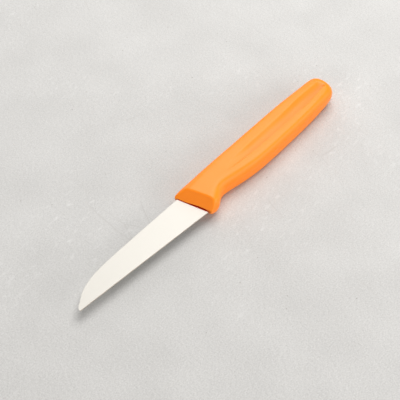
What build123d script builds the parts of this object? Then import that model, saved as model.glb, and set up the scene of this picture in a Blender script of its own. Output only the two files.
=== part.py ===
from build123d import *
import os
from math import radians, sqrt, tan

os.makedirs("parts", exist_ok=True)

# Whole knife, lying on its side. X runs from tip to butt, Y from cutting edge to spine, Z is the thickness.
# The origin is under the middle of the knife's box, on the surface that it lies on.
overall_length = 184.5
handle_length = 107.0        # along the middle of the handle, front face to butt
handle_width = 20.4          # from the crown of the spine side to the foot of the finger guard
handle_thickness = 12.4      # across the flat sides of the grip

# Blade: one stamping of sheet steel, ground from spine to edge.
blade_thickness = 1.2
spine_setback = 2.7          # the blade's spine lies this far inside the handle's spine side
spine_straight_from = 34.5   # distance from the tip to where the spine is straight
drop_from = 16.6             # distance from the tip to where the drop turns steep
drop_depth = 1.2             # how far the spine has dropped there
tip_height = 7.6             # height of the tip above the foot of the guard
tip_blunt = 0.8              # the tip is blunted to this height
tip_radius = 0.25
heel_height = 1.5            # height of the cutting edge above the foot of the guard, at the handle
bevel_height = 0.6           # the honed bevel along the cutting edge
bevel_thickness = 0.3        # blade thickness where the bevel starts
edge_thickness = 0.06        # what is left at the very edge

# Tang: the hidden part of the stamping.
seat_depth = 4.0             # how far the blade's full height runs on inside the handle
tang_length = 58.0           # from the handle's front to the end of the tang
tang_height = 9.0
tang_foot = 6.2              # height of the tang's lower side above the foot of the guard
tang_corner_radius = 3.0
lock_hole_diameter = 4.4
lock_hole_end_distance = 9.0
lock_hole_pitch = 26.0
mould_clearance = 0.02       # gap between steel and plastic

# Handle outline, seen on its flat side.
front_slant = 17.3           # degrees by which the spine corner of the front leads the guard corner
crown_share = 0.8            # the spine side's crown lies this share of the handle's length from the butt
crown_front_drop = 0.2       # the spine side falls this far from its crown to the front
crown_butt_drop = 1.0        # and this far to the butt
belly_share = 0.551          # the belly's widest point lies this share of the handle's length from the butt
belly_rise = 1.0             # height of that point above the foot of the guard
belly_butt_rise = 3.9        # height of the belly line at the butt
choil_from_front = 14.9      # distance of the finger hollow's corner from the middle of the front
choil_rise = 4.6             # height of that corner
choil_radius = 9.0
guard_width = 8.8            # from the middle of the front to the guard's rear corner
guard_radius = 6.0
butt_spine_radius = 7.4
butt_belly_radius = 7.0
butt_corner_share = 0.47     # but neither is more than this share of the butt's height

# Handle, seen along its spine side.
flat_from_front = 18.0       # distance from the front face to where the flat sides begin
front_fall = 1.1             # each side curves in by this much to the front
flat_from_butt = 30.0        # distance from the butt to where the flat sides end
butt_fall = 0.8              # each side curves in by this much to the butt
side_radius = 4.5            # rounding of the long edges
rounding_share = 0.45        # but never more than this share of the thickness at the front
nose_thickness = 2.0         # blunt nose between the two sloping front faces
nose_run = 5.0               # how far the front faces slope back
nose_radius = 0.5            # rounding round the front faces

# Flute: the long shallow thumb hollow in each flat side.
flute_from_front = 20.5      # distance of its pointed start from the middle of the front
flute_to_butt = 2.2          # distance of its round end from the butt
flute_width = 6.4
flute_depth = 0.9
flute_start_height = 10.6    # height of its centre line above the foot of the guard, at the start
flute_end_height = 11.3      # and at the end
flute_bow = 0.8              # the centre line sags this much halfway
flute_taper_share = 0.1      # part of the width that is lost towards the butt
point_share = 0.45           # the pointed start takes this share of the length
round_share = 0.04           # and the round end this share
floor_share = 0.5            # the flat floor starts this share of the width from the crisp lower border
step_share = 0.07            # and ends at a crisp step, this share of the width wide
flute_station_shares = (
    0.005, 0.03, 0.07, 0.12, 0.18, 0.26, 0.36, 0.48, 0.6, 0.72, 0.84, 0.96, 0.975, 0.988, 0.998
)

overrun = 1.0                # how far a cut runs past what it cuts

# Places that follow from the sizes above.
x_tip = -overall_length / 2
x_butt = overall_length / 2
x_front = x_butt - handle_length
y_crown = handle_width / 2
y_foot = -handle_width / 2
z_mid = handle_thickness / 2
front_lean = tan(radians(front_slant))
x_start = x_front - y_crown * front_lean - overrun
x_flat_front = x_front + flat_from_front
x_flat_butt = x_butt - flat_from_butt
x_flute_start = x_front + flute_from_front
x_flute_end = x_butt - flute_to_butt
butt_height = handle_width - crown_butt_drop - belly_butt_rise

# Corners of the blade's outline. The heel is buried in the handle.
y_blade_spine = y_crown - spine_setback
tip = Vector(x_tip, y_foot + tip_height)
tip_top = tip + Vector(0, tip_blunt)
heel = Vector(x_front - (y_foot + heel_height) * front_lean, y_foot + heel_height)
along_edge = (heel - tip).normalized()
across_edge = Vector(-along_edge.Y, along_edge.X)
buried_heel = heel + along_edge * seat_depth
buried_spine = Vector(buried_heel.X - (y_blade_spine - buried_heel.Y) * front_lean, y_blade_spine)
ground_height = (y_blade_spine - heel.Y) * across_edge.Y


def near(shape, x, y):
    """The vertex of a sketch nearest to a point."""
    return shape.vertices().sort_by_distance((x, y, 0))[0]


def blade_form(grow):
    """The stamping with every face moved out by grow: visible blade, buried heel and tang."""
    thickness = blade_thickness + 2 * grow
    sheet = Plane.XY.offset(z_mid - thickness / 2)
    with BuildPart() as stamping:
        with BuildSketch(sheet) as outline:
            with BuildLine():
                straight = Vector(x_tip + spine_straight_from, y_blade_spine)
                steep = Vector(x_tip + drop_from, y_blade_spine - drop_depth)
                Line(buried_spine, straight)
                gentle = TangentArc(straight, steep, tangent=(-1, 0))
                TangentArc(steep, tip_top, tangent=gentle % 1)
                Polyline(tip_top, tip, buried_heel, buried_spine)
            make_face()
            fillet([near(outline, tip.X, tip.Y), near(outline, tip_top.X, tip_top.Y)], tip_radius)
            if grow:
                offset(amount=grow)
        extrude(amount=thickness)

        # Both faces taper from the spine to the bevel, and the bevel tapers to the edge.
        upper = [
            (0, edge_thickness / 2),
            (bevel_height, bevel_thickness / 2),
            (ground_height, blade_thickness / 2),
            (ground_height + overrun, blade_thickness / 2),
        ]
        lower = [(height, -half) for height, half in reversed(upper)]
        with BuildSketch(Plane(origin=tip, x_dir=across_edge, z_dir=along_edge)):
            with Locations((0, z_mid)):
                Polygon(*upper, *lower, align=None)
            if grow:
                offset(amount=grow)
        extrude(amount=overall_length, both=True, mode=Mode.INTERSECT)

        # The tang keeps the sheet's full thickness. Its lock holes shrink as the steel grows.
        tang_end = x_front + tang_length
        tang_start = x_front + seat_depth
        tang_middle = y_foot + tang_foot + tang_height / 2
        with BuildSketch(sheet) as tang:
            with Locations(((tang_start + tang_end) / 2, tang_middle)):
                Rectangle(tang_end - tang_start + 2 * grow, tang_height + 2 * grow)
            fillet(tang.vertices().group_by(Axis.X)[-1], tang_corner_radius)
            with Locations((tang_end - lock_hole_end_distance, tang_middle)):
                with Locations((0, 0), (-lock_hole_pitch, 0)):
                    Circle(lock_hole_diameter / 2 - grow, mode=Mode.SUBTRACT)
        extrude(amount=thickness)
    return stamping.part


def side_fall(x):
    """How far the handle's side has curved in at x, near the butt."""
    return butt_fall * (max(0, x - x_flat_butt) / flat_from_butt) ** 2


def flute_swell(along):
    """The flute's swell from 0 to 1: a point that fills out by a cube law, and a quarter circle at the end."""
    point = 1 - (1 - min(1, along / point_share)) ** 3
    into_round = max(0, 1 - (1 - along) / round_share)
    return point * sqrt(1 - into_round**2)


def flute_centre(along):
    """Height of the flute's centre line: straight between its two ends, less the sag of a parabola."""
    straight = flute_start_height + along * (flute_end_height - flute_start_height)
    return y_foot + straight - flute_bow * (1 - (2 * along - 1) ** 2)


# Blade
with BuildPart() as blade:
    add(blade_form(0))

# Room that the steel takes up inside the handle
with BuildPart() as steel_room:
    add(blade_form(mould_clearance))

# Handle
with BuildPart() as handle:
    # Outline, extruded through the thickness.
    with BuildSketch() as outline:
        crown = (x_butt - crown_share * handle_length, y_crown)
        crown_front = (x_start, y_crown - crown_front_drop)
        crown_butt = (x_butt, y_crown - crown_butt_drop)
        belly = (x_butt - belly_share * handle_length, y_foot + belly_rise)
        belly_butt = (x_butt, y_foot + belly_butt_rise)
        choil = (x_front + choil_from_front, y_foot + choil_rise)
        guard = (x_front + guard_width, y_foot)
        with BuildLine():
            TangentArc(crown, crown_front, tangent=(-1, 0))
            TangentArc(crown, crown_butt, tangent=(1, 0))
            Line(crown_butt, belly_butt)
            TangentArc(belly, belly_butt, tangent=(1, 0))
            TangentArc(belly, choil, tangent=(-1, 0))
            Polyline(choil, guard, (x_start, y_foot), crown_front)
        make_face()
        fillet(near(outline, *crown_butt), min(butt_spine_radius, butt_corner_share * butt_height))
        fillet(near(outline, *belly_butt), min(butt_belly_radius, butt_corner_share * butt_height))
        fillet(near(outline, *choil), choil_radius)
        fillet(near(outline, *guard), guard_radius)
    extrude(amount=handle_thickness)

    # Flat sides that curve in to the front and to the butt.
    with BuildSketch(Plane.XZ):
        with BuildLine():
            for side in (1, -1):
                z_flat = z_mid + side * handle_thickness / 2
                z_start = z_flat - side * front_fall
                z_butt = z_flat - side * butt_fall
                Line((x_flat_front, z_flat), (x_flat_butt, z_flat))
                TangentArc((x_flat_front, z_flat), (x_start, z_start), tangent=(-1, 0))
                TangentArc((x_flat_butt, z_flat), (x_butt, z_butt), tangent=(1, 0))
                Line((x_start, z_start), (x_start, z_mid))
                Line((x_butt, z_butt), (x_butt, z_mid))
        make_face()
    extrude(amount=handle_width, both=True, mode=Mode.INTERSECT)

    # Long edges, all round but for the front.
    rims = handle.edges().filter_by(Axis.Z, reverse=True).filter_by(Axis.Y, reverse=True)
    fillet(rims, min(side_radius, rounding_share * (handle_thickness - 2 * front_fall)))

    # Blunt nose and the two faces that slope back from it.
    slope_rise = (handle_thickness - nose_thickness) / 2
    past_side = 1 + overrun / slope_rise
    slope_top = (-nose_run * past_side, nose_thickness / 2 + slope_rise * past_side)
    before_start = handle_width * front_lean + overrun
    front = Plane(origin=(x_front, 0, z_mid), x_dir=(-1, -front_lean, 0), z_dir=(-front_lean, 1, 0))
    with BuildSketch(front):
        with BuildLine():
            slope = Polyline((0, 0), (0, nose_thickness / 2), slope_top, (before_start, slope_top[1]))
            Line((before_start, 0), slope @ 1)
            mirror(about=Plane.XZ)
        make_face()
    extrude(amount=handle_width, both=True, mode=Mode.SUBTRACT)
    front_faces = handle.faces().filter_by(GeomType.PLANE).filter_by(lambda face: face.normal_at().X < 0)
    fillet(front_faces.edges(), nose_radius)

    # Flutes: a slope from the upper border, a flat floor, and a crisp step at the lower border.
    for side in (1, -1):
        for along in flute_station_shares:
            x = x_flute_start + along * (x_flute_end - x_flute_start)
            width = flute_width * flute_swell(along) * (1 - flute_taper_share * along)
            low = flute_centre(along) - width / 2
            high = flute_centre(along) + width / 2
            surface = z_mid + side * (handle_thickness / 2 - side_fall(x))
            floor = surface - side * flute_depth * flute_swell(along)
            outside = surface + side * overrun
            with BuildSketch(Plane.YZ.offset(x)):
                with BuildLine():
                    Polyline((high, surface), (low + floor_share * width, floor))
                    Polyline((low + floor_share * width, floor), (low + step_share * width, floor))
                    Polyline((low + step_share * width, floor), (low, surface))
                    Polyline((low, surface), (low, outside), (high, outside), (high, surface))
                make_face()
        loft(ruled=True, mode=Mode.SUBTRACT)

    # Room for the steel. The plastic that stays in the lock holes holds it.
    add(steel_room.part, mode=Mode.SUBTRACT)

blade.part.label = "blade"
handle.part.label = "handle"
export_step(blade.part, "parts/blade.step")
export_step(handle.part, "parts/handle.step")
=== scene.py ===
import math
import bmesh
import bpy
import numpy as np
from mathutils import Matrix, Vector


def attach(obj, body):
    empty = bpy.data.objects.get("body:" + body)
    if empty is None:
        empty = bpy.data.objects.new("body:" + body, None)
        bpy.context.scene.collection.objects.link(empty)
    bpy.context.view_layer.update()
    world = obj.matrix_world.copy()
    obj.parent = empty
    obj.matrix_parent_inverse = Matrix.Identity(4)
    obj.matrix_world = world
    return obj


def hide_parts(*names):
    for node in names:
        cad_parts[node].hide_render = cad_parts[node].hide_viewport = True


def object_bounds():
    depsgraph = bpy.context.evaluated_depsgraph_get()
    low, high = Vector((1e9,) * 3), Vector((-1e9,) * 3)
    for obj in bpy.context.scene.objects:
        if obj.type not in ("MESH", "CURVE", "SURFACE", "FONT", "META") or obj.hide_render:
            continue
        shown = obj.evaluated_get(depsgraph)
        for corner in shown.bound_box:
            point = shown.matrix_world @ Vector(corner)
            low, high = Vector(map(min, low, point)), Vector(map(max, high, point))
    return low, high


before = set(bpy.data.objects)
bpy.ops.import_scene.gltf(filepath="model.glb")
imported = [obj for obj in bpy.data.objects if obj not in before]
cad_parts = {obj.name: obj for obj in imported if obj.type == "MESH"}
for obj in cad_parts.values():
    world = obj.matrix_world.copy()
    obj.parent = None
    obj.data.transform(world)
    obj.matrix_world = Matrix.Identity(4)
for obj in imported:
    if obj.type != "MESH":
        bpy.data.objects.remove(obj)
cad_low, cad_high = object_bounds()

# Handle. One injection moulding of orange plastic, shot round the steel's tang. The belly, on the edge's
# side, is hollowed behind a finger guard, and the crown, on the spine's side, is nearly straight. Each flat
# side has a long thumb flute, and the front slopes back from a blunt nose.
MM = 0.001
MID_HEIGHT = (cad_low[2] + cad_high[2]) / 2 / MM     # the blade's plane, and the mould's parting line

# Control points of the outline in plan, from the crown round the butt to the belly. The nose cuts it off.
HANDLE_OUTLINE = np.array([
    (-40, 9.95), (-20, 9.95), (0, 9.15), (20, 8.97), (40, 9.02), (58, 9.08), (72, 8.66), (82, 8.66),
    (88.5, 8.8), (91.65, 5.95), (92.4, 1.6), (92.0, -3.35), (88.35, -6.95), (80, -7.38), (68, -8.25),
    (54, -8.76), (40, -9.02), (28, -9.12), (17, -8.2), (8.5, -6.9), (3, -5.9), (-0.75, -6.75), (-3.7, -8.85),
    (-6.6, -10.65), (-10.5, -10.12), (-15, -10.15), (-20, -10.15)])
OUTLINE_STEPS = 80           # points on each span of the outline

# The nose: the line of its front in plan, its height, and its two faces that slope back.
FRONT_X = -14.75
FRONT_SLANT = math.radians(17.3)
NOSE_HALF = 1.05             # half the height of the blunt nose
NOSE_RISE = 1.0              # the faces rise this much for each millimetre back
NOSE_ROUNDING = 0.55         # at the faces' upper border
SOFTER_FROM, SOFTER_RUN, SOFTER_BY = 5.5, 3, 3.5     # towards the crown this rounding grows
THINNER_FROM, THINNER_RUN, THINNER_SHARE = 7.7, 1.7, 0.5     # and the nose loses this share of its height
CORNER_SIZE = 1.5            # the crown's corner of the nose is rounded over this much of both its sides
CROWN_LINE = 9.72            # the crown's y at that corner
SLOT_HALF = 0.95             # half the height of the narrow slot round the blade
SLOT_SHARE = 0.9             # the most that the slot takes of the nose's height
SLOT_DEPTH = 0.6
SLOT_FROM, SLOT_TO, SLOT_CLOSING = -9.3, 7.75, 0.4   # its two ends, and the run over which it closes

# The sides come closer to the front and to the butt along a parabola: its start, its run and its fall.
FRONT_FALL_X, FRONT_FALL_RUN, FRONT_FALL = 3.3, 18, 0.62
BUTT_FALL_X, BUTT_FALL_RUN, BUTT_FALL = 62.2, 30, 0.8

# Knots along the handle of each rim's reach inwards and its power: 2 is an ellipse, more is boxier.
BELLY_WIDTH = np.array([(-16, 6.5), (-9, 6.0), (0, 4.5), (9, 4.5), (28, 4.1), (75, 4.0), (90, 5.0)])
BELLY_POWER = np.array([(-16, 2.4), (10, 2.4), (28, 2.95), (75, 2.95), (90, 2.05)])
CROWN_WIDTH = np.array([(-16, 5.6), (-5, 4.6), (10, 4.0), (70, 4.0), (90, 5.0)])
CROWN_POWER = np.array([(-16, 2.0), (-5, 2.3), (10, 3.2), (60, 3.3), (90, 2.1)])

# Knots of the flute: its lower and upper border in plan, the width and the power of its slope up to the
# upper border, and its depth.
FLUTE_LOW = np.array([(5, -0.3), (12, -1.95), (20, -2.7), (30, -3.2), (45, -3.4), (60, -3.3), (70, -3.1),
                      (76, -2.65), (82, -1.95), (95, -0.3)])
FLUTE_HIGH = np.array([(5, 0.9), (16, 1.5), (24, 1.9), (34, 2.0), (45, 2.25), (58, 2.65), (70, 3.3),
                       (78, 3.4), (95, 3.2)])
SLOPE_WIDTH = np.array([(5, 1.1), (16, 2.1), (24, 2.8), (34, 2.9), (45, 3.7), (70, 3.8), (78, 4.5)])
SLOPE_POWER = np.array([(60, 1.7), (80, 1.6)])
FLUTE_DEPTH = np.array([(34, 1.05), (45, 1.2), (58, 1.45), (70, 1.6), (80, 1.75), (90, 1.6)])
STEP_WIDTH = 0.6             # the crisp lower border
SLOPE_ROUNDING = 0.4         # at the upper border
FLUTE_START, START_RUN = 8, 22
FLUTE_END, END_RUN = 90.7, 5.5

# Rings along the handle, on three stretches: the shares of the outline's length at which these meet, and
# the rings on each.
GRIP_SHARE, BUTT_SHARE = 0.075, 0.83
NOSE_RINGS, GRIP_RINGS, BUTT_RINGS = 56, 225, 80
BUTT_CROWDING = 1.15         # more than 1 crowds the rings towards the butt's end
LEAN_SHARE = 0.13            # rings lean along the nose, less and less up to this share
RIM_ROWS = 14
RIM_REACH = 5.0              # how far in from the outline a rim's rows reach
NOSE_REACH, NOSE_REACH_SHARE = 1.6, 0.12             # at the nose this much further, less up to this share

# Rows across the flat side, as shares of the way from the belly's rim to the crown's: where each border of
# the flute may lie, and the least share between them.
LOW_SHARES, HIGH_SHARES, LEAST_SHARE = (0.12, 0.5), (0.3, 0.88), 0.15
FIRST_SHARE, SEARCH_ROUNDS = 0.4, 4                  # the search for a border: first guess, and rounds
FLUTE_SPAN = 5, 92           # the borders' lines are read between these
LEAST_REACH = 0.01           # the least way across that is divided by
# Stretches from the lower border (0) to past the upper one (1), the rows on each, and the rows outside.
STEP_END, SLOPE_END, FLUTE_SIDE_END = 0.12, 0.86, 1.06
STEP_ROWS, SLOPE_ROWS, UPPER_ROWS = 6, 13, 8
BELLY_ROWS, CROWN_ROWS = 11, 8

MERGE_WITHIN = 0.004         # the rings' points that meet at the nose and the butt become one
THIN_SHARE = 0.1             # edges shorter than this share of the merging distance are dissolved


def b_spline(control, steps):
    """Uniform cubic B-spline: each point is the mean of four control points in a row, weighted by the cubic
    basis, with the same number of steps in each span."""
    t = np.linspace(0, 1, steps, endpoint=False)[:, None]
    basis = np.hstack([(1 - t) ** 3, 3 * t**3 - 6 * t**2 + 4, -3 * t**3 + 3 * t**2 + 3 * t + 1, t**3]) / 6
    spans = np.stack([control[i:len(control) - 3 + i] for i in range(4)], axis=1)
    return np.einsum("tk,nkc->ntc", basis, spans).reshape(-1, control.shape[1])


def soft_line(knots, x):
    """Natural cubic spline through the knots (x, y): its bending solves the usual tridiagonal system, and
    each span is the cubic that has that bending at both ends."""
    knot_x, knot_y = knots[:, 0], knots[:, 1]
    gap = np.diff(knot_x)
    inner = np.arange(1, len(knot_x) - 1)
    system = np.eye(len(knot_x))
    system[inner, inner - 1] = gap[:-1] / 6
    system[inner, inner] = (gap[:-1] + gap[1:]) / 3
    system[inner, inner + 1] = gap[1:] / 6
    turn = np.zeros(len(knot_x))
    turn[1:-1] = np.diff(np.diff(knot_y) / gap)
    bend = np.linalg.solve(system, turn)
    at = np.clip(np.searchsorted(knot_x, x) - 1, 0, len(gap) - 1)
    before, after, span = x - knot_x[at], knot_x[at + 1] - x, gap[at]
    from_bend = (bend[at] * after**3 + bend[at + 1] * before**3) / (6 * span)
    from_start = (knot_y[at] / span - bend[at] * span / 6) * after
    from_end = (knot_y[at + 1] / span - bend[at + 1] * span / 6) * before
    return from_bend + from_start + from_end


def smooth(t):
    """Smooth step from 0 to 1: 3 t squared less 2 t cubed."""
    t = np.clip(t, 0, 1)
    return t * t * (3 - 2 * t)


def soft_min(a, b, blend):
    """The lower of two heights, rounded by a parabola where they differ by less than the blend."""
    near = np.maximum(blend - np.abs(a - b), 0) / blend
    return np.minimum(a, b) - near * near * blend / 4


def behind_front(x, y):
    """Distance behind the slanted line of the nose."""
    return (x - FRONT_X) * math.cos(FRONT_SLANT) + y * math.sin(FRONT_SLANT)


def flute(x, y):
    """Depth of the flute at a point of the flat side. Across, it is a smooth step inside its crisp lower
    border times a power curve that rises, ever steeper, to its rounded upper border. It deepens slowly from
    its start, and rises again before the butt's rounded end."""
    up_slope = np.maximum(1 + (y - soft_line(FLUTE_HIGH, x)) / np.interp(x, *SLOPE_WIDTH.T), 0)
    slope = np.interp(x, *FLUTE_DEPTH.T) * (1 - up_slope ** np.interp(x, *SLOPE_POWER.T))
    depth = -soft_min(-slope, 0, SLOPE_ROUNDING)
    depth = depth * smooth((y - soft_line(FLUTE_LOW, x)) / STEP_WIDTH)
    return depth * smooth((x - FLUTE_START) / START_RUN) * smooth((FLUTE_END - x) / END_RUN)


def side_height(x, y, inset):
    """Height of the handle's side above the blade's plane: full on the grip, less a parabola's fall to the
    front and to the butt, and less the flute. The rim is a quarter of a superellipse in the distance from
    the outline (inset). The nose's sloping face is a plane that cuts this off."""
    to_front = np.maximum(FRONT_FALL_X - x, 0) / FRONT_FALL_RUN
    to_butt = np.maximum(x - BUTT_FALL_X, 0) / BUTT_FALL_RUN
    full = MID_HEIGHT - FRONT_FALL * to_front**2 - BUTT_FALL * to_butt**2
    width = np.where(y > 0, np.interp(x, *CROWN_WIDTH.T), np.interp(x, *BELLY_WIDTH.T))
    power = np.where(y > 0, np.interp(x, *CROWN_POWER.T), np.interp(x, *BELLY_POWER.T))
    quarter = (1 - (1 - np.clip(inset / width, 0, 1)) ** power) ** (1 / power)
    thinner = THINNER_SHARE * smooth((y - THINNER_FROM) / THINNER_RUN)
    face = NOSE_HALF * (1 - thinner) + NOSE_RISE * behind_front(x, y)
    rounding = NOSE_ROUNDING * (1 + SOFTER_BY * smooth((y - SOFTER_FROM) / SOFTER_RUN))
    return soft_min((full - flute(x, y)) * quarter, face, rounding)


def round_corner(plan):
    """The plan with the crown's corner of the nose rounded: its square of distances behind the nose and
    inside the crown is drawn in to a quarter circle, each point straight towards the square's inner
    corner."""
    x, y = plan[..., 0], plan[..., 1]
    from_nose = np.clip(CORNER_SIZE - behind_front(x, y), 0, CORNER_SIZE)
    from_crown = np.clip(CORNER_SIZE - (CROWN_LINE - y), 0, CORNER_SIZE)
    largest, away = np.maximum(from_nose, from_crown), np.hypot(from_nose, from_crown)
    drawn_in = 1 - np.divide(largest, away, out=np.zeros_like(away), where=away > 0)
    shift_x = (from_nose + from_crown * math.sin(FRONT_SLANT)) * drawn_in / math.cos(FRONT_SLANT)
    return plan + np.stack([shift_x, -from_crown * drawn_in], axis=-1)


def rows_across(low, high):
    """Shares of the way from each ring's belly rim (low) to its crown rim (high) at which its rows lie.
    They follow the flute's two borders, and are close together there."""
    reach = np.maximum(high[:, 1] - low[:, 1], LEAST_REACH)

    def crossing(border, least, most):
        """The share at which each ring meets a border: a guess, moved onto the border in a few rounds."""
        at = np.full(len(reach), FIRST_SHARE)
        for _ in range(SEARCH_ROUNDS):
            x = low[:, 0] + at * (high - low)[:, 0]
            at = np.clip((soft_line(border, np.clip(x, *FLUTE_SPAN)) - low[:, 1]) / reach, least, most)
        return at[:, None]

    at_low = crossing(FLUTE_LOW, *LOW_SHARES)
    at_high = np.maximum(crossing(FLUTE_HIGH, *HIGH_SHARES), at_low + LEAST_SHARE)
    inside = np.concatenate([np.linspace(0, STEP_END, STEP_ROWS, endpoint=False),
                             np.linspace(STEP_END, SLOPE_END, SLOPE_ROWS, endpoint=False),
                             np.linspace(SLOPE_END, FLUTE_SIDE_END, UPPER_ROWS)])
    over_flute = at_low + inside * (at_high - at_low)
    last = over_flute[:, -1:]
    to_flute = at_low * np.arange(1, BELLY_ROWS + 1) / (BELLY_ROWS + 1)
    past_flute = last + (1 - last) * np.arange(1, CROWN_ROWS + 1) / (CROWN_ROWS + 1)
    return np.hstack([to_flute, over_flute, past_flute])


def handle_surface():
    """Rings of points round the handle, from the nose to the butt. The outline is walked on both sides from
    the front to the butt's end, and each pair of points carries one ring. Each ring's top runs from the
    belly's rim, inset by even turns of a quarter circle, straight across the side to the crown's rim. Its
    underside is the mirror image."""
    walk = b_spline(HANDLE_OUTLINE, OUTLINE_STEPS)
    step = np.gradient(walk, axis=0)
    tangent = step / np.hypot(step[:, 0], step[:, 1])[:, None]
    inward = np.stack([tangent[:, 1], -tangent[:, 0]], axis=1)
    length = np.concatenate([[0], np.cumsum(np.hypot(*np.diff(walk, axis=0).T))])
    behind = behind_front(walk[:, 0], walk[:, 1])
    butt = int(np.argmax(walk[:, 0]))
    crown_start = np.interp(0, behind[:butt], length[:butt])
    belly_start = np.interp(0, behind[:butt:-1], length[:butt:-1])

    quarter_turn = math.pi / 2
    round_butt = np.cos(np.linspace(0, quarter_turn, BUTT_RINGS)) ** BUTT_CROWDING
    share = np.concatenate([np.linspace(0, GRIP_SHARE, NOSE_RINGS, endpoint=False),
                            np.linspace(GRIP_SHARE, BUTT_SHARE, GRIP_RINGS, endpoint=False),
                            1 - (1 - BUTT_SHARE) * round_butt])
    reach = RIM_REACH + NOSE_REACH * (1 - smooth(share / NOSE_REACH_SHARE))
    inset = reach[:, None] * (1 - np.cos(np.linspace(0, quarter_turn, RIM_ROWS + 1)))
    lean = math.tan(FRONT_SLANT) * (1 - smooth(share / LEAN_SHARE))

    def rim(at):
        """One rim's points in plan, at lengths along the outline and from the outline inwards."""
        place, into, along = (np.stack([np.interp(at, length, curve[:, axis]) for axis in (0, 1)], axis=1)
                              for curve in (walk, inward, tangent))
        return place[:, None] + (into + along * lean[:, None])[:, None] * inset[:, :, None]

    crown = rim(crown_start + (length[butt] - crown_start) * share)
    belly = rim(belly_start + (length[butt] - belly_start) * share)
    low, high = belly[:, -1], crown[:, -1]
    rows = rows_across(low, high)
    across = low[:, None] + rows[:, :, None] * (high - low)[:, None]

    plan = np.concatenate([belly, across, crown[:, ::-1]], axis=1)
    from_outline = np.concatenate([inset, np.full(rows.shape, np.inf), inset[:, ::-1]], axis=1)
    height = side_height(plan[..., 0], plan[..., 1], from_outline)
    height[:, [0, -1]] = 0
    plan = round_corner(plan)
    top = np.dstack([plan, MID_HEIGHT + height])
    under = np.dstack([plan, MID_HEIGHT - height])[:, -2:0:-1]
    return np.concatenate([top, under], axis=1)


def nose_faces(points, around):
    """The blunt nose, with the narrow slot that the blade comes out of. On each side of the blade's plane
    the slot's lip lies under the nose's edge, and its root behind the lip, and both close on the plane past
    the blade. Strips of quads join the upper edge, lip, root, lower root, lip and edge."""
    half = around // 2 + 1
    edge = points[:half]
    opening = smooth((edge[:, 1] - SLOT_FROM) / SLOT_CLOSING) * smooth((SLOT_TO - edge[:, 1]) / SLOT_CLOSING)
    lip = edge.copy()
    lip[:, 2] = MID_HEIGHT + np.minimum(SLOT_HALF, SLOT_SHARE * (edge[:, 2] - MID_HEIGHT)) * opening
    root = lip + np.outer(opening, (SLOT_DEPTH, 0, 0))
    lower_root, lower_lip = ((0, 0, 2 * MID_HEIGHT) + line * (1, 1, -1) for line in (root, lip))
    row = np.arange(half)
    lines = [row] + [len(points) + half * k + row for k in range(4)] + [(around - row) % around]
    strips = [np.stack([a[:-1], a[1:], b[1:], b[:-1]], axis=-1) for a, b in zip(lines[:-1], lines[1:])]
    return np.concatenate([points, lip, root, lower_root, lower_lip]), np.concatenate(strips).tolist()


def ring_faces(rings, around):
    """Quads between neighbouring rings of points, each ring closed on itself."""
    ring, point = np.meshgrid(np.arange(rings - 1), np.arange(around), indexing="ij")
    following = (point + 1) % around
    quads = np.stack([ring * around + point, ring * around + following, (ring + 1) * around + following,
                      (ring + 1) * around + point], axis=-1)
    return quads.reshape(-1, 4).tolist()


def surface_piece(name, points, faces, merge=0.0):
    """A mesh object from points in millimetres, with its place in its mesh and its faces turned outwards.
    Points closer than the merging distance become one."""
    mesh = bpy.data.meshes.new(name)
    mesh.from_pydata((np.asarray(points) * MM).tolist(), [], faces)
    piece = bpy.data.objects.new(name, mesh)
    bpy.context.scene.collection.objects.link(piece)
    bm = bmesh.new()
    bm.from_mesh(mesh)
    if merge:
        bmesh.ops.remove_doubles(bm, verts=bm.verts, dist=merge * MM)
        bmesh.ops.dissolve_degenerate(bm, edges=bm.edges, dist=merge * MM * THIN_SHARE)
    bmesh.ops.recalc_face_normals(bm, faces=bm.faces)
    bm.to_mesh(mesh)
    bm.free()
    mesh.polygons.foreach_set("use_smooth", np.ones(len(mesh.polygons), bool))
    mesh.update()
    return piece


rings = handle_surface()
around = rings.shape[1]
points, nose = nose_faces(rings.reshape(-1, 3), around)
faces = ring_faces(len(rings), around) + nose
handle = surface_piece("handle_moulding", points, faces, merge=MERGE_WITHIN)


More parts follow.
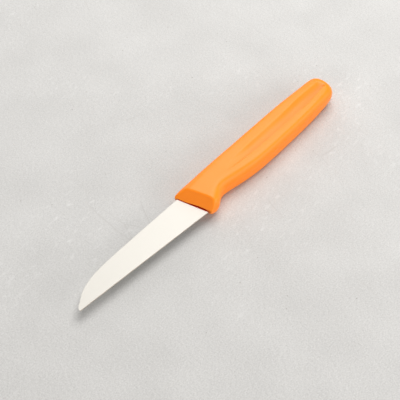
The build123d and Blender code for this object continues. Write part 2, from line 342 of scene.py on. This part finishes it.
class Finish:
    """A material in the making: its shader, the object's own coordinates (place) and the patterns that feed
    it. Wherever a pattern takes a value, it takes the output of another one too."""

    def __init__(self, name, shader_values):
        self.material = bpy.data.materials.new(name)
        self.material.use_nodes = True
        self.nodes = self.material.node_tree.nodes
        self.links = self.material.node_tree.links
        self.shader = self.nodes["Principled BSDF"]
        self.fill(self.shader, shader_values)
        self.place = self.nodes.new("ShaderNodeTexCoord").outputs["Object"]

    def fill(self, node, sockets):
        """Sets a node's sockets to values, or joins them to the outputs of other nodes."""
        for key, value in sockets.items():
            if isinstance(value, bpy.types.NodeSocket):
                self.links.new(value, node.inputs[key])
            else:
                node.inputs[key].default_value = value

    def pattern(self, kind, sockets, setting=None, choice=None):
        """The outputs of a new node, whose sockets are filled after its one setting is chosen."""
        node = self.nodes.new(kind)
        if setting:
            setattr(node, setting, choice)
        self.fill(node, sockets)
        return node.outputs

    def noise(self, scale, detail, vector=None, output="Fac"):
        """Soft noise of about as many waves to the metre as its scale, on the place or other coordinates."""
        sockets = {"Vector": self.place if vector is None else vector, "Scale": scale, "Detail": detail}
        return self.pattern("ShaderNodeTexNoise", sockets)[output]

    def cells(self, vector, scale, feature="F1"):
        """Cells round scattered points: a place's distance to its cell's point or border, and its colour."""
        sockets = {"Vector": vector, "Scale": scale}
        return self.pattern("ShaderNodeTexVoronoi", sockets, "feature", feature)

    def stretched(self, vector, scale, turn):
        """Coordinates multiplied by a scale and then turned about the upright, by degrees."""
        sockets = {"Vector": vector, "Scale": scale, "Rotation": (0, 0, math.radians(turn))}
        return self.pattern("ShaderNodeMapping", sockets)["Vector"]

    def measured(self, direction):
        """How far a point lies along a direction in plan, in metres."""
        sockets = {0: self.place, 1: (*direction, 0)}
        return self.pattern("ShaderNodeVectorMath", sockets, "operation", "DOT_PRODUCT")["Value"]

    def ranged(self, value, start, end, first=0.0, last=1.0):
        """The first result up to the start, the last one from the end on, and a straight line between."""
        sockets = {"Value": value, "From Min": start, "From Max": end, "To Min": first, "To Max": last}
        return self.pattern("ShaderNodeMapRange", sockets)["Result"]

    def times(self, a, b):
        """The product of two numbers."""
        return self.pattern("ShaderNodeMath", {0: a, 1: b}, "operation", "MULTIPLY")[0]

    def mixed(self, factor, a, b, kind="RGBA"):
        """From a at factor 0 to b at factor 1: two colours, or two numbers of the kind FLOAT."""
        return self.pattern("ShaderNodeMix", {"Factor": factor, "A": a, "B": b}, "data_type", kind)["Result"]

    def bump(self, height, strength, distance):
        """Gives the shader a bump, its distance in metres."""
        sockets = {"Height": height, "Strength": strength, "Distance": distance}
        self.fill(self.shader, {"Normal": self.pattern("ShaderNodeBump", sockets)["Normal"]})


ORANGE, LIGHT_ORANGE = (0.99, 0.238, 0.001, 1), (1.0, 0.25, 0.001, 1)


def plastic():
    """Moulded plastic: an even orange with the faintest mottling of its pigment, a fine mould grain in the
    bump and a sheen that varies a little where fingers have rubbed it."""
    finish = Finish("orange moulded plastic", {"IOR": 1.49, "Specular IOR Level": 0.44})
    pigment = finish.mixed(finish.noise(scale=180, detail=3), ORANGE, LIGHT_ORANGE)
    rubbed = finish.ranged(finish.noise(scale=60, detail=4), 0, 1, first=0.38, last=0.48)
    finish.fill(finish.shader, {"Base Color": pigment, "Roughness": rubbed})
    finish.bump(finish.noise(scale=2200, detail=2), strength=0.12, distance=0.0001)
    return finish.material


handle.data.materials.append(plastic())
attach(handle, "root")
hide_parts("handle")

# Blade. One stamping of sheet steel, ground on both faces from the spine to the edge and then honed to a
# narrow bevel. Its satin comes from fine grinding lines that run from spine to edge. Its tang is hidden in
# the handle.
TIP_X = cad_low[0] / MM
EDGE_TIP, EDGE_HEEL = np.array([TIP_X, -3.0]), np.array([-12.04, -8.95])
EDGE_LINE = (EDGE_HEEL - EDGE_TIP) / np.hypot(*(EDGE_HEEL - EDGE_TIP))
TO_SPINE = np.array([-EDGE_LINE[1], EDGE_LINE[0]])   # square to the edge's line
SPINE = np.array([(TIP_X, -1.85), (-91.6, -1.0), (-89.65, 0.5), (-86.45, 2.66), (-81.95, 4.84), (-75.9, 6.4),
                  (-69.95, 7.03), (-62, 7.3), (-54, 7.42), (-42, 7.49), (-28, 7.5), (-11, 7.5)])
SHEET, BEVEL_SHEET, EDGE_SHEET = 1.2, 0.3, 0.06      # thickness at the spine, over the bevel and at the edge
BEVEL_HEIGHT = 0.35
GROUND_HEIGHT = 16.15        # the taper reaches the sheet's full thickness here
SPINE_ROUNDING = 0.12
ROUNDING_DEPTH_SHARE = 0.9   # the rounding takes this share of its height off each face
# Near the tip the bevel and the spine's rounding take no more than these shares of the blade's height.
BEVEL_SHARE, ROUNDING_SHARE = 0.6, 0.1
TIP_START = 0.02             # the first ring stands this far behind the tip
TIP_TURN = 1.2               # rings near the tip are spaced as by a circle's turn up to this angle
TIP_RINGS, HEEL_RINGS = 40, 120                      # on that stretch, and on the rest
FACE_ROWS, ROUNDING_ROWS = 25, 5


def blade_surface():
    """Rings of points round the blade, from the tip to inside the handle. Each ring lies across the edge's
    line: from the edge up the bevel and the ground face to the spine, over the spine's small rounding, and
    down the other face. Half the thickness grows in a straight line up the bevel, and in another up the
    ground face."""
    share = np.concatenate([1 - np.cos(np.linspace(0, TIP_TURN, TIP_RINGS, endpoint=False)),
                            np.linspace(1 - math.cos(TIP_TURN), 1, HEEL_RINGS)])
    start = SPINE[0, 0] + TIP_START
    x = start + (SPINE[-1, 0] - start) * share
    spine = np.stack([x, soft_line(SPINE, x)], axis=1)
    reach, high = (spine - EDGE_TIP) @ EDGE_LINE, (spine - EDGE_TIP) @ TO_SPINE
    foot = EDGE_TIP + np.maximum(reach, TIP_START)[:, None] * EDGE_LINE
    bevel = np.minimum(BEVEL_HEIGHT, BEVEL_SHARE * high)
    over = np.minimum(SPINE_ROUNDING, ROUNDING_SHARE * high)
    rows = [np.zeros_like(high), bevel / 2, bevel]
    rows += [bevel + (high - over - bevel) * t for t in np.linspace(0, 1, FACE_ROWS + 1)[1:]]
    rows += [high - over * (1 - math.sin(t)) for t in np.linspace(0, math.pi / 2, ROUNDING_ROWS + 1)[1:]]
    rows = np.stack(rows, axis=1)
    on_bevel = EDGE_SHEET + (BEVEL_SHEET - EDGE_SHEET) * rows / BEVEL_HEIGHT
    up_face = (rows - BEVEL_HEIGHT) / (GROUND_HEIGHT - BEVEL_HEIGHT)
    half = np.where(rows < bevel[:, None], on_bevel, BEVEL_SHEET + (SHEET - BEVEL_SHEET) * up_face) / 2
    half = np.clip(half, EDGE_SHEET / 2, SHEET / 2)
    into = np.clip((rows - (high - over)[:, None]) / over[:, None], 0, 1)
    half -= over[:, None] * (1 - np.sqrt(1 - into**2)) * ROUNDING_DEPTH_SHARE
    plan = foot[:, None] + (spine - foot)[:, None] * (rows / high[:, None])[:, :, None]
    face = np.dstack([plan, MID_HEIGHT + half])
    back = np.dstack([plan, MID_HEIGHT - half])[:, ::-1]
    return np.concatenate([face, back], axis=1)


rings = blade_surface()
around = rings.shape[1]
faces = ring_faces(len(rings), around)
faces.append(list(range(around)))
faces.append(list(range((len(rings) - 1) * around, len(rings) * around)))
blade = surface_piece("blade_steel", rings.reshape(-1, 3), faces)

STEEL, BRIGHT_STEEL = (0.568, 0.552, 0.517, 1), (0.631, 0.613, 0.574, 1)
# The bevel's darker grey is painted shade; its lower roughness is the honed steel's own.
BEVEL_SHADE_STEEL, HONED_ROUGHNESS = (0.36, 0.32, 0.275, 1), 0.6
# Painted shade: the dark red that the steel takes along the slot, under the nose.
NOSE_SHADE_RED = (0.5, 0.045, 0.012, 1)
BEVEL_BLUR = 0.04
NOSE_SHADE_WIDTH, NOSE_SHADE_FULL_WIDTH = 0.5, 0.35            # ahead of the nose


def satin_steel():
    """Ground sheet steel: fine lines from spine to edge, made by a noise that is stretched along them,
    drive a small bump, the tone and the roughness. The bevel at the edge is smoother, and its darker grey
    is painted shade. A dark red band of painted shade lies on the steel along the slot, under the nose."""
    finish = Finish("satin ground steel", {"Metallic": 1.0})
    drawn_out = finish.stretched(finish.place, scale=(9000, 60, 200), turn=4.35)
    lines = finish.noise(scale=1, detail=3, vector=drawn_out)

    bevel_top, blur = MM * (EDGE_TIP @ TO_SPINE + BEVEL_HEIGHT), MM * BEVEL_BLUR
    # The bevel's band: smoother steel, and a darker grey of painted shade.
    honed_and_shaded = finish.ranged(finish.measured(TO_SPINE), bevel_top - blur, bevel_top + blur, first=1, last=0)
    off_nose = (math.cos(FRONT_SLANT), math.sin(FRONT_SLANT))
    nose_line = MM * FRONT_X * math.cos(FRONT_SLANT)
    # Painted shade: a dark red band on the steel, from just ahead of the nose's line inwards along the slot.
    nose_shade = finish.ranged(finish.measured(off_nose), nose_line - MM * NOSE_SHADE_WIDTH,
                          nose_line - MM * NOSE_SHADE_FULL_WIDTH)

    tone = finish.mixed(honed_and_shaded, finish.mixed(lines, STEEL, BRIGHT_STEEL), BEVEL_SHADE_STEEL)
    ground = finish.ranged(lines, 0, 1, first=0.6, last=0.7)
    rough = finish.mixed(honed_and_shaded, ground, HONED_ROUGHNESS, kind="FLOAT")
    finish.fill(finish.shader, {"Base Color": finish.mixed(nose_shade, tone, NOSE_SHADE_RED), "Roughness": rough})
    finish.bump(lines, strength=0.1, distance=0.00002)
    return finish.material


blade.data.materials.append(satin_steel())
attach(blade, "root")
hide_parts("blade")

# Studio. A plain pale plastered table under an overhead soft box, whose reflection gives the sheen on what
# lies flat. Low reflectors light the handle's near side, its crown side and its front, and an even pale
# surround fills the rest.
PLASTER_DARK, PLASTER_PALE = (0.36, 0.354, 0.343, 1), (0.73, 0.723, 0.71, 1)
HAIRLINE = (0.505, 0.495, 0.48, 1)
FLECK = (0.61, 0.604, 0.593, 1)
PIT = (0.38, 0.36, 0.34, 1)
GRAIN_SHARE = 0.68           # of the tone. The rest is the cloud's
SWAY = (0.012, 0.012, 0)     # the hairlines bend by up to this much, in metres


def plaster():
    """Pale trowelled plaster: a soft cloud and a fine grain in its tone, a few long hairlines left by the
    trowel, small pale flecks, small dark pits and a fine bump."""
    finish = Finish("pale plaster", {"Roughness": 0.9, "Specular IOR Level": 0.1})
    cloud, grain = finish.noise(scale=30, detail=5), finish.noise(scale=1500, detail=2)
    tone = finish.mixed(finish.mixed(GRAIN_SHARE, cloud, grain, kind="FLOAT"), PLASTER_DARK, PLASTER_PALE)

    # Hairlines: the borders of long cells that run across the knife, bent a little, and shown only where a
    # broad noise lets them.
    sway = {0: finish.noise(scale=18, detail=4, output="Color"), 1: SWAY, 2: finish.place}
    bent = finish.pattern("ShaderNodeVectorMath", sway, "operation", "MULTIPLY_ADD")["Vector"]
    drawn_out = finish.stretched(bent, scale=(30, 9, 1), turn=10)
    long_cells = finish.cells(drawn_out, scale=1, feature="DISTANCE_TO_EDGE")
    border = finish.ranged(long_cells["Distance"], 0, 0.006, first=1, last=0)
    hairlines = finish.times(border, finish.ranged(finish.noise(scale=22, detail=3), 0.5, 0.62))
    tone = finish.mixed(hairlines, tone, HAIRLINE)

    # Flecks: small pale chips in clusters, drawn out along the knife.
    drawn_out = finish.stretched(finish.place, scale=(200, 420, 1), turn=0)
    chips = finish.ranged(finish.noise(scale=1, detail=3, vector=drawn_out), 0.58, 0.7)
    clusters = finish.ranged(finish.noise(scale=16, detail=2), 0.48, 0.62)
    tone = finish.mixed(finish.times(chips, clusters), tone, FLECK)

    # Pits: a small spot in the middle of a few small cells.
    small_cells = finish.cells(finish.place, scale=160)
    spot = finish.ranged(small_cells["Distance"], 0.03, 0.07, first=1, last=0)
    few = finish.ranged(small_cells["Color"], 0.56, 0.6)
    tone = finish.mixed(finish.times(spot, few), tone, PIT)

    finish.fill(finish.shader, {"Base Color": tone})
    finish.bump(finish.noise(scale=500, detail=4), strength=0.5, distance=0.0006)
    return finish.material


TABLE_REACH = 4.0            # metres to each side
table_mesh = bpy.data.meshes.new("table")
corners = [(x * TABLE_REACH, y * TABLE_REACH, 0) for x, y in ((-1, -1), (1, -1), (1, 1), (-1, 1))]
table_mesh.from_pydata(corners, [], [(0, 1, 2, 3)])
table_top = bpy.data.objects.new("table", table_mesh)
bpy.context.scene.collection.objects.link(table_top)
table_mesh.materials.append(plaster())

AIM = (-0.00636, 0.00229, 0.0)
CAMERA_PLACE = (-0.21428, -0.18842, 0.38833)
WARM_WHITE = (1.0, 0.992, 0.98)
SURROUND_WHITE, SURROUND_STRENGTH = (1.0, 0.99, 0.975, 1), 0.355


def aim(thing, place):
    """Puts a camera or lamp at a place, looking at the middle of the picture."""
    thing.location = place
    thing.rotation_euler = (Vector(AIM) - Vector(place)).to_track_quat("-Z", "Y").to_euler()


camera_data = bpy.data.cameras.new("camera")
camera_data.lens = 86.59
camera_data.clip_start = 0.01
camera = bpy.data.objects.new("camera", camera_data)
bpy.context.scene.collection.objects.link(camera)
aim(camera, CAMERA_PLACE)
bpy.context.scene.camera = camera


def soft_lamp(name, place, width, height, watts):
    """An area lamp with a warm white tint, sized in metres."""
    data = bpy.data.lights.new(name, "AREA")
    data.shape = "RECTANGLE"
    data.size, data.size_y = width, height
    data.energy = watts
    data.color = WARM_WHITE
    lamp = bpy.data.objects.new(name, data)
    bpy.context.scene.collection.objects.link(lamp)
    aim(lamp, place)


soft_lamp("soft box overhead", (0.30, 0.10, 0.66), width=0.6, height=0.6, watts=5.2)
soft_lamp("low reflector", (0.30, -0.85, 0.28), width=1.2, height=0.55, watts=5.6)
soft_lamp("back reflector", (0.30, 0.85, 0.35), width=1.2, height=0.55, watts=2.6)
soft_lamp("front reflector", (-0.90, -0.34, 0.26), width=0.8, height=0.5, watts=2.0)

world = bpy.data.worlds.new("surround")
bpy.context.scene.world = world
world.use_nodes = True
world.node_tree.nodes["Background"].inputs["Color"].default_value = SURROUND_WHITE
world.node_tree.nodes["Background"].inputs["Strength"].default_value = SURROUND_STRENGTH

bpy.context.scene.view_settings.view_transform = "Standard"
